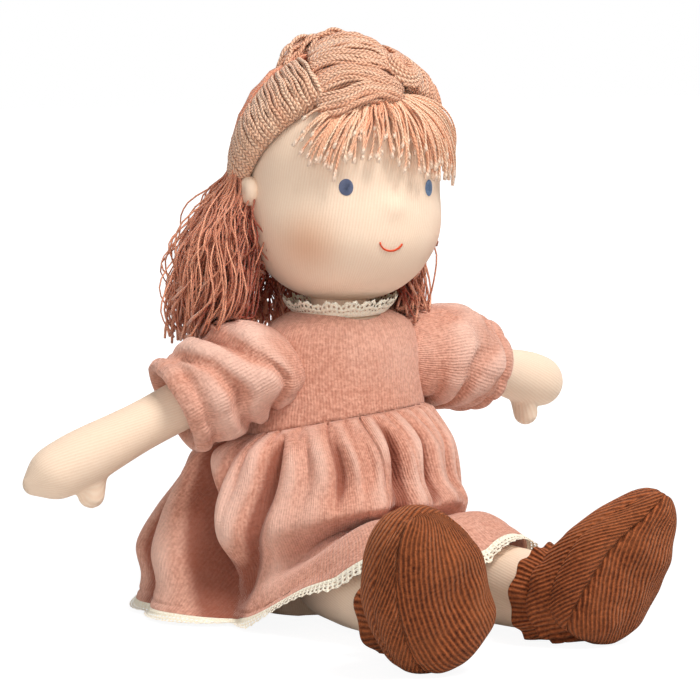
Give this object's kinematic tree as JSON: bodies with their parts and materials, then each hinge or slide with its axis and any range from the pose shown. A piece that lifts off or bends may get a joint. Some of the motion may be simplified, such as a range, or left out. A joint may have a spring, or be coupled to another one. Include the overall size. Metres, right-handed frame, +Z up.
{
  "type": "rag doll",
  "caption": "Seated soft cloth doll with yarn hair, a gathered short-sleeved dress trimmed with lace, and padded ribbed shoes.",
  "frame": {"origin": "middle of the flat seat, on the surface the doll sits on", "axes": "+Z up, the doll faces -Y, its left side is +X"},
  "size_m": [0.2899, 0.2531, 0.2472],
  "materials": {
    "knit": "fine ribbed cotton jersey, matt",
    "stuffing": "loose white polyester fibre",
    "velour": "short-pile stretch velour, dusty pink",
    "lace": "cream cotton lace edging",
    "yarn": "soft two-ply yarn, peach brown, slight sheen",
    "corduroy": "wide-wale corduroy, rust brown",
    "blue_thread": "satin-stitched embroidery floss, blue",
    "red_thread": "backstitched embroidery floss, orange red",
    "white_tape": "hook-and-loop closure tape",
    "cord": "thin cotton cord"
  },
  "bodies": {
    "torso": {"torso_skin": "knit", "torso_filling": "stuffing", "dress_bodice": "velour", "closure_loop_tape": "white_tape", "closure_hook_tape": "white_tape", "dress_skirt": "velour", "hem_lace": "lace", "collar_lace": "lace"},
    "neck": {"neck_stem": "knit", "neck_tie": "cord"},
    "head": {"head_skin": "knit", "head_filling": "stuffing", "right_eye": "blue_thread", "left_eye": "blue_thread", "right_ear": "knit", "left_ear": "knit", "mouth": "red_thread", "wig_cap": "yarn", "right_hair_band": "yarn", "left_hair_band": "yarn", "crown_hair": "yarn", "crown_knot": "yarn", "fringe": "yarn", "right_hair_lock": "yarn", "back_hair": "yarn", "left_hair_lock": "yarn"},
    "right_arm": {"right_arm_skin": "knit", "right_arm_filling": "stuffing", "right_sleeve": "velour"},
    "left_arm": {"left_arm_skin": "knit", "left_arm_filling": "stuffing", "left_sleeve": "velour"},
    "right_leg": {"right_leg_skin": "knit", "right_leg_filling": "stuffing", "right_shoe_sole": "corduroy", "right_shoe_upper": "corduroy", "right_shoe_cuff": "corduroy"},
    "left_leg": {"left_leg_skin": "knit", "left_leg_filling": "stuffing", "left_shoe_sole": "corduroy", "left_shoe_upper": "corduroy", "left_shoe_cuff": "corduroy"}
  },
  "joints": [
    {"name": "neck_nod", "type": "hinge", "parent": "torso", "child": "neck", "pos_m": [0, -0.02, 0.125], "axis": [1, 0, 0], "range_deg": [-10, 10], "deforming": ["collar_lace", "right_hair_lock", "back_hair", "left_hair_lock"]},
    {"name": "head_turn", "type": "hinge", "parent": "neck", "child": "head", "pos_m": [0, -0.02, 0.125], "axis": [0.0349, 0, 0.9994], "range_deg": [-50, 50], "deforming": ["right_hair_lock", "back_hair", "left_hair_lock"]},
    {"name": "right_shoulder", "type": "hinge", "parent": "torso", "child": "right_arm", "pos_m": [-0.047, -0.024, 0.106], "axis": [0.2538, 0.9673, 0], "range_deg": [-5, 60], "deforming": ["right_sleeve", "right_hair_lock", "back_hair", "left_hair_lock"]},
    {"name": "left_shoulder", "type": "hinge", "parent": "torso", "child": "left_arm", "pos_m": [0.047, -0.024, 0.106], "axis": [0.4147, -0.91, 0], "range_deg": [-5, 60], "deforming": ["left_sleeve", "right_hair_lock", "back_hair", "left_hair_lock"]},
    {"name": "right_hip", "type": "hinge", "parent": "torso", "child": "right_leg", "pos_m": [-0.02, -0.05, 0.0185], "axis": [1, 0, 0], "range_deg": [0, 85], "deforming": ["dress_skirt", "hem_lace"]},
    {"name": "left_hip", "type": "hinge", "parent": "torso", "child": "left_leg", "pos_m": [0.02, -0.032, 0.0185], "axis": [1, 0, 0], "range_deg": [0, 85], "deforming": ["dress_skirt", "hem_lace"]}
  ]
}
